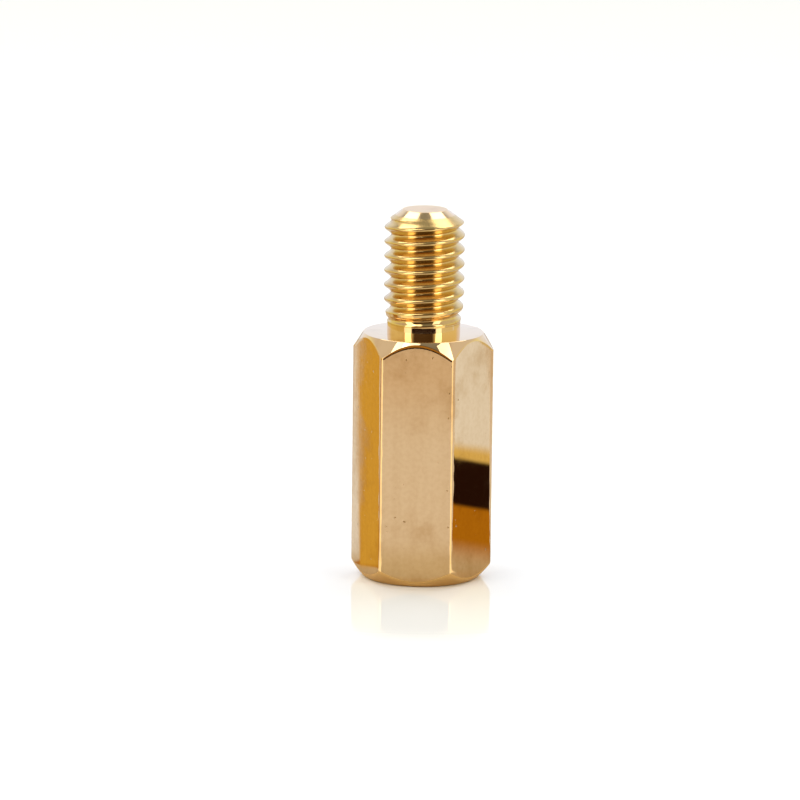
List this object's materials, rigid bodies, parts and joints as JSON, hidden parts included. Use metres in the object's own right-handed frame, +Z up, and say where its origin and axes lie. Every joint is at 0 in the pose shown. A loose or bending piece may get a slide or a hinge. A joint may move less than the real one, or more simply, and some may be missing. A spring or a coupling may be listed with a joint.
{
  "type": "hex standoff",
  "caption": "Brass hexagonal standoff with a threaded stud on top and a blind tapped hole in its base, for holding two panels apart.",
  "frame": {"origin": "centre of the base face, where the standoff stands on a panel", "axes": "+Z up the standoff's axis, towards the end of the stud; a flat of the hexagon faces -Y"},
  "size_m": [0.0068, 0.006, 0.018],
  "materials": {
    "brass": "polished bar with fine drawing marks"
  },
  "bodies": {
    "root": {"hex_standoff": "brass"}
  },
  "joints": []
}
